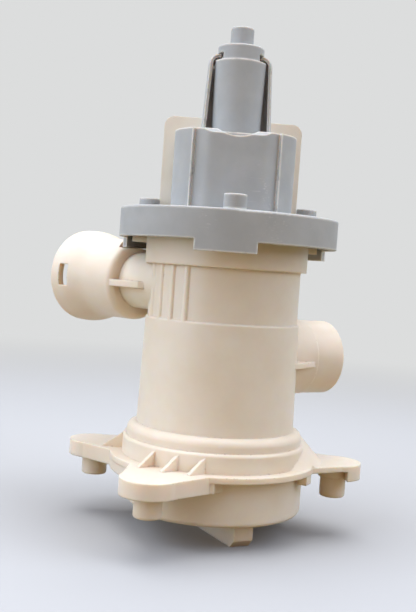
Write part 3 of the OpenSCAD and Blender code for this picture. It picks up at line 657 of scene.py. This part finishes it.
@dataclass
class Stator:
    """Lamination stack, coils and terminals.

    Attributes:
        sheet_mm: Thickness of a stamped sheet with its share of air.
        air_mm: Air between two sheets.
        slip_mm: Most that a sheet slips out of line.
        seed: Start of the random slips.
        coil_x: Distance from the axis to the middle of a coil, in millimetres.
        coil_mid: Height of the middle of the coils.
        coil_y: Where the tape starts and ends along a coil.
        coil_half: Half width and half height of a taped coil.
        corner: Rounding of its corners.
        film: Thickness of the tape's layers together.
        tape_w: Width of the tape.
        lap_h: Height of the step where a turn of tape lies on the turn before.
        lap_run: Length along the coil that the step takes.
        end_drop: How far the last turn ends below the taped surface.
        last_turn: Least width of tape left for a last turn.
        corner_steps: Flat faces that make up a rounded corner.
    """

    sheet_mm: float = 0.5
    air_mm: float = 0.06
    slip_mm: float = 0.05
    seed: int = 11
    coil_x: float = 16.8
    coil_mid: float = 125.2
    coil_y: tuple[float, float] = (26.02, 57.98)
    coil_half: tuple[float, float] = (11.85, 14.75)
    corner: float = 4.5
    film: float = 0.45
    tape_w: float = 12.7
    lap_h: float = 0.12
    lap_run: float = 0.03
    end_drop: float = 0.03
    last_turn: float = 1.0
    corner_steps: int = 8

    def build(self) -> None:
        """Stacks the sheets and winds the tape."""
        slips = random.Random(self.seed)
        for name in ("stator_pole_left", "stator_pole_right", "stator_yoke"):
            self.stack_sheets(name, slips)
        self.wind_tape()

    def stack_sheets(self, name: str, slips: random.Random) -> None:
        """Replaces one part of the core by its stamped sheets.

        Args:
            name: Node of the core.
            slips: Source of the small slips from sheet to sheet.
        """
        low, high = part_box(name)
        count = round((high.z - low.z) / (self.sheet_mm * MM))
        pitch = (high.z - low.z) / count
        steel = 1 - self.air_mm / self.sheet_mm
        mesh = bmesh.new()
        for sheet in range(count):
            first = len(mesh.verts)
            mesh.from_mesh(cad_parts[name].data)
            mesh.verts.ensure_lookup_table()
            aside = slips.uniform(-self.slip_mm, self.slip_mm) * MM
            back = slips.uniform(-self.slip_mm, self.slip_mm) * MM
            for vert in mesh.verts[first:]:
                share = (vert.co.z - low.z) / (high.z - low.z)
                vert.co.z = low.z + pitch * (sheet + share * steel)
                vert.co.x += aside
                vert.co.y += back
        piece = add_piece(name + "_sheets", mesh, SILICON_STEEL, "housing")
        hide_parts(name)

    def coil_outline(self, inset: float) -> list[tuple[float, float]]:
        """Goes round a coil.

        Args:
            inset: Distance inside the taped surface, in millimetres.

        Returns:
            Points across and up from the middle of the coil, in millimetres.
        """
        wide, tall = self.coil_half
        corners = ((1, 1), (-1, 1), (-1, -1), (1, -1))
        round_r = self.corner - inset
        points = []
        for quarter, (right, up) in enumerate(corners):
            for step in range(self.corner_steps + 1):
                angle = math.pi / 2 * (quarter + step / self.corner_steps)
                points.append((
                    right * (wide - self.corner) + round_r * math.cos(angle),
                    up * (tall - self.corner) + round_r * math.sin(angle),
                ))
        return points

    def wind_tape(self) -> None:
        """Winds lapped tape round both coils in place of its plain solid."""
        start, end = self.coil_y
        rows = self.tape_rows(start, end)
        rows += [(end, -self.film), (start, -self.film)]
        mesh = bmesh.new()
        for side in (-1, 1):
            rings = [self.tape_ring(mesh, side, y, lift) for y, lift in rows]
            for here, there in zip(rings, rings[1:] + rings[:1]):
                for i in range(len(here)):
                    j = (i + 1) % len(here)
                    mesh.faces.new((here[i], here[j], there[j], there[i]))
        piece = add_piece("coil_tape_laps", mesh, POLYESTER_TAPE, "housing")
        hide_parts("coil_tape")

    def tape_rows(self, start: float, end: float) -> list[tuple[float, float]]:
        """Lists the rows of the taped surface, where each turn covers half of the turn before.

        Args:
            start: Where the tape starts along the coil, in millimetres.
            end: Where it ends.

        Returns:
            Place and lift of each row, with a sharp step down where each turn of tape ends.
        """
        advance = self.tape_w / 2
        rows = [(start, -self.lap_h)]
        edge = start + advance
        while edge < end - self.last_turn:
            rows.append((edge - self.lap_run, 0.0))
            rows.append((edge, -self.lap_h))
            edge += advance
        rows.append((end, -self.end_drop))
        return rows

    def tape_ring(
        self, mesh: bmesh.types.BMesh, side: int, y: float, lift: float
    ) -> list[bmesh.types.BMVert]:
        """Adds one ring of points round a coil.

        Args:
            mesh: Mesh that takes the points.
            side: 1 for the right coil, -1 for the left one.
            y: Place along the coil, in millimetres.
            lift: Height above the taped surface, below zero inside it.

        Returns:
            The points in order.
        """
        return [
            mesh.verts.new((side * (self.coil_x + across) * MM, y * MM, (self.coil_mid + up) * MM))
            for across, up in self.coil_outline(-lift)
        ]

    def dress(self) -> None:
        """Finishes the stator."""
        dress_node("core_rivets", ZINC_STEEL)
        dress_node("coil_bobbin", IVORY_BOBBIN)
        dress_node("winding_left", ENAMELLED_COPPER)
        dress_node("winding_right", ENAMELLED_COPPER)
        dress_node("terminal_tabs", TINNED_BRASS)


@dataclass(frozen=True)
class PhotoView:
    """Camera at the photograph's viewpoint.

    Attributes:
        frame_px: Width and height of the picture.
        focal_px: Focal length in pixels.
        distance: From the camera to the pump axis.
        height: Of the camera above the origin.
        axis_px: How far right of the middle the axis stands.
        horizon_px: How far the horizon is from the middle, upwards negative.
        roll: Of the camera about its own axis, in degrees.
        turn: Of the camera round the pump axis, in degrees.
        sensor_mm: Width of the sensor.
        near: Nearest thing that the camera sees, in metres.
        far: Farthest thing that it sees, in metres.
    """

    frame_px: tuple[int, int] = (416, 612)
    focal_px: float = 930.0
    distance: float = 390.6 * MM
    height: float = 87.36 * MM
    axis_px: float = 15.0
    horizon_px: float = -40.3
    roll: float = 4.1
    turn: float = -2.5
    sensor_mm: float = 36.0
    near: float = 0.01
    far: float = 50.0

    def build(self) -> None:
        """Makes the camera and looks through it."""
        lens = bpy.data.cameras.new("photo_camera")
        lens.sensor_width = self.sensor_mm
        lens.lens = self.focal_px * self.sensor_mm / max(self.frame_px)
        lens.clip_start = self.near
        lens.clip_end = self.far
        camera = bpy.data.objects.new("photo_camera", lens)
        bpy.context.scene.collection.objects.link(camera)
        pitch = math.atan(self.horizon_px / self.focal_px)
        yaw = math.atan(self.axis_px / self.focal_px)
        ahead = math.cos(yaw) * math.cos(pitch)
        forward = Vector((-math.sin(yaw), ahead, math.sin(pitch))).normalized()
        right = forward.cross(Vector((0.0, 0.0, 1.0))).normalized()
        rolled = Matrix.Rotation(-math.radians(self.roll), 3, forward)
        right = rolled @ right
        up = right.cross(forward)
        place = Matrix((right, up, -forward)).transposed().to_4x4()
        place.translation = (0.0, -self.distance, self.height)
        camera.matrix_world = Matrix.Rotation(math.radians(self.turn), 4, "Z") @ place
        bpy.context.scene.camera = camera
        LOG.info("photo_camera: lens %.1f mm", lens.lens)


@dataclass(frozen=True)
class Lamp:
    """Soft box: a square lamp that faces the pump.

    Attributes:
        name: Name of the lamp.
        place: Its middle, in metres.
        side: Length of its side, in metres.
        watts: Its power.
        colour: Colour of its light.
    """

    name: str
    place: tuple[float, float, float]
    side: float
    watts: float
    colour: str

    def build(self, aim: Vector) -> None:
        """Makes the lamp and turns it to a point.

        Args:
            aim: The point that it faces.
        """
        light = bpy.data.lights.new(self.name, "AREA")
        light.size = self.side
        light.energy = self.watts
        light.color = linear(self.colour)[:3]
        lamp = bpy.data.objects.new(self.name, light)
        bpy.context.scene.collection.objects.link(lamp)
        lamp.location = self.place
        lamp.rotation_euler = (aim - Vector(self.place)).to_track_quat("-Z", "Y").to_euler()
        LOG.info("%s: %.1f W", self.name, self.watts)


@dataclass
class Studio:
    """Pale floor that curves up into a wall all round, with soft boxes.

    Attributes:
        floor_r: Radius of the flat floor, in metres.
        cove_r: Radius of the curve into the wall.
        wall_h: Height of the wall.
        sides: Flat faces round the floor.
        floor_rings: Rings that the flat floor is divided into.
        cove_steps: Flat faces up the curve.
        seen: Even tone of the floor and wall away from the pump.
        lit: Colour of the paper under the lamps, which lift it to the same tone.
        bounced: Colour that they throw back on the pump.
        shadow_r: Radius inside which the floor is shaded by the lamps alone.
        even_r: Radius outside which it has an even tone.
        paper_roughness: Roughness of the paper.
        paper_sheen: Strength of its reflection.
        room: Colour of the light that the room gives from all sides.
        room_level: Strength of that light.
        lamps: The soft boxes.
    """

    floor_r: float = 1.6
    cove_r: float = 0.9
    wall_h: float = 3.0
    sides: int = 72
    floor_rings: int = 4
    cove_steps: int = 9
    seen: str = "#dcdddd"
    lit: str = "#b4b5b6"
    bounced: str = "#7c6c44"
    shadow_r: float = 0.25
    even_r: float = 0.9
    paper_roughness: float = 0.9
    paper_sheen: float = 0.2
    room: str = "#ffdab4"
    room_level: float = 0.25
    lamps: tuple[Lamp, ...] = (
        Lamp("left_soft_box", (-0.8, -0.3, 0.5), 1.2, 12.4, "#e3edff"),
        Lamp("top_soft_box", (-0.02, 0.12, 1.05), 1.1, 17.0, "#f6f9ff"),
        Lamp("right_soft_box", (0.8, -0.26, 0.64), 0.9, 8.2, "#e3edff"),
        Lamp("front_soft_box", (0.1, -1.1, 0.3), 0.7, 0.9, "#ffb070"),
    )

    def build(self) -> None:
        """Makes the floor, the world and the lamps."""
        low, high = CAD_BOX
        self.lay_floor(low.z)
        aim = (low + high) / 2
        for lamp in self.lamps:
            lamp.build(aim)
        self.light_world()
        bpy.context.scene.view_settings.view_transform = "Standard"

    def floor_profile(self) -> list[tuple[float, float]]:
        """Lists radius and height from the middle of the floor to the top of the wall."""
        profile = [(self.floor_r * i / self.floor_rings, 0.0) for i in range(1, self.floor_rings)]
        for step in range(self.cove_steps + 1):
            angle = math.pi / 2 * step / self.cove_steps
            reach = self.floor_r + self.cove_r * math.sin(angle)
            profile.append((reach, self.cove_r * (1 - math.cos(angle))))
        profile.append((self.floor_r + self.cove_r, self.wall_h))
        return profile

    def lay_floor(self, level: float) -> None:
        """Makes the floor with its wall.

        Args:
            level: Height of the floor, in metres.
        """
        mesh = bmesh.new()
        turns = [math.tau * i / self.sides for i in range(self.sides)]
        rings = [
            [mesh.verts.new((r * math.cos(t), r * math.sin(t), level + h)) for t in turns]
            for r, h in self.floor_profile()
        ]
        mesh.faces.new(rings[0])
        for inner, outer in zip(rings, rings[1:]):
            for i in range(self.sides):
                j = (i + 1) % self.sides
                mesh.faces.new((inner[i], outer[i], outer[j], inner[j]))
        for face in mesh.faces:
            face.smooth = True
        data = bpy.data.meshes.new("studio_floor")
        mesh.to_mesh(data)
        mesh.free()
        floor = bpy.data.objects.new("studio_floor", data)
        bpy.context.scene.collection.objects.link(floor)
        data.materials.append(self.floor_material())
        LOG.info("studio_floor: radius %.1f m", self.floor_r)

    def floor_material(self) -> bpy.types.Material:
        """Makes the matt paper, pale to the eye and duller in the light that it throws back."""
        made = bpy.data.materials.new("matt_pale_paper")
        made.use_nodes = True
        tree = made.node_tree
        shader = tree.nodes["Principled BSDF"]
        shader.inputs["Roughness"].default_value = self.paper_roughness
        shader.inputs["Specular IOR Level"].default_value = self.paper_sheen
        path = add_node(tree, "ShaderNodeLightPath")
        shown = add_node(
            tree,
            "ShaderNodeMath",
            {"operation": "MAXIMUM"},
            {0: path.outputs["Is Camera Ray"], 1: path.outputs["Is Glossy Ray"]},
        )
        colour = add_node(
            tree,
            "ShaderNodeMix",
            {"data_type": "RGBA", MIX_UNDER: linear(self.bounced), MIX_OVER: linear(self.lit)},
            {MIX_SHARE: shown.outputs["Value"]},
        )
        tree.links.new(colour.outputs[MIX_COLOUR], shader.inputs["Base Color"])
        # Away from the pump and its shadow the paper shows its own even tone
        place = add_node(tree, "ShaderNodeNewGeometry")
        reach = add_node(
            tree, "ShaderNodeVectorMath", {"operation": "LENGTH"}, {0: place.outputs["Position"]}
        )
        far = add_node(
            tree,
            "ShaderNodeMapRange",
            {"interpolation_type": "SMOOTHSTEP", "From Min": self.shadow_r, "From Max": self.even_r},
            {"Value": reach.outputs["Value"]},
        )
        even = add_node(
            tree,
            "ShaderNodeMath",
            {"operation": "MULTIPLY"},
            {0: far.outputs["Result"], 1: shown.outputs["Value"]},
        )
        tone = add_node(tree, "ShaderNodeEmission", {"Color": linear(self.seen), "Strength": 1.0})
        both = add_node(
            tree,
            "ShaderNodeMixShader",
            links={0: even.outputs["Value"], 1: shader.outputs["BSDF"], 2: tone.outputs["Emission"]},
        )
        tree.links.new(both.outputs["Shader"], tree.nodes["Material Output"].inputs["Surface"])
        return made

    def light_world(self) -> None:
        """Gives the room a weak warm light from all sides."""
        world = bpy.data.worlds.new("studio_room")
        world.use_nodes = True
        background = world.node_tree.nodes["Background"]
        background.inputs["Color"].default_value = linear(self.room)
        background.inputs["Strength"].default_value = self.room_level
        bpy.context.scene.world = world


def main() -> None:
    """Builds and dresses the pump, then the studio and the camera."""
    logging.basicConfig(level=logging.INFO, format="%(message)s")
    PhotoView().build()
    stator = Stator()
    stator.build()
    for group in (FilterHousing(), FilterPlug(), RotorGroup(), MotorCase(), stator):
        group.dress()
    Studio().build()


if __name__ == "__main__":
    main()
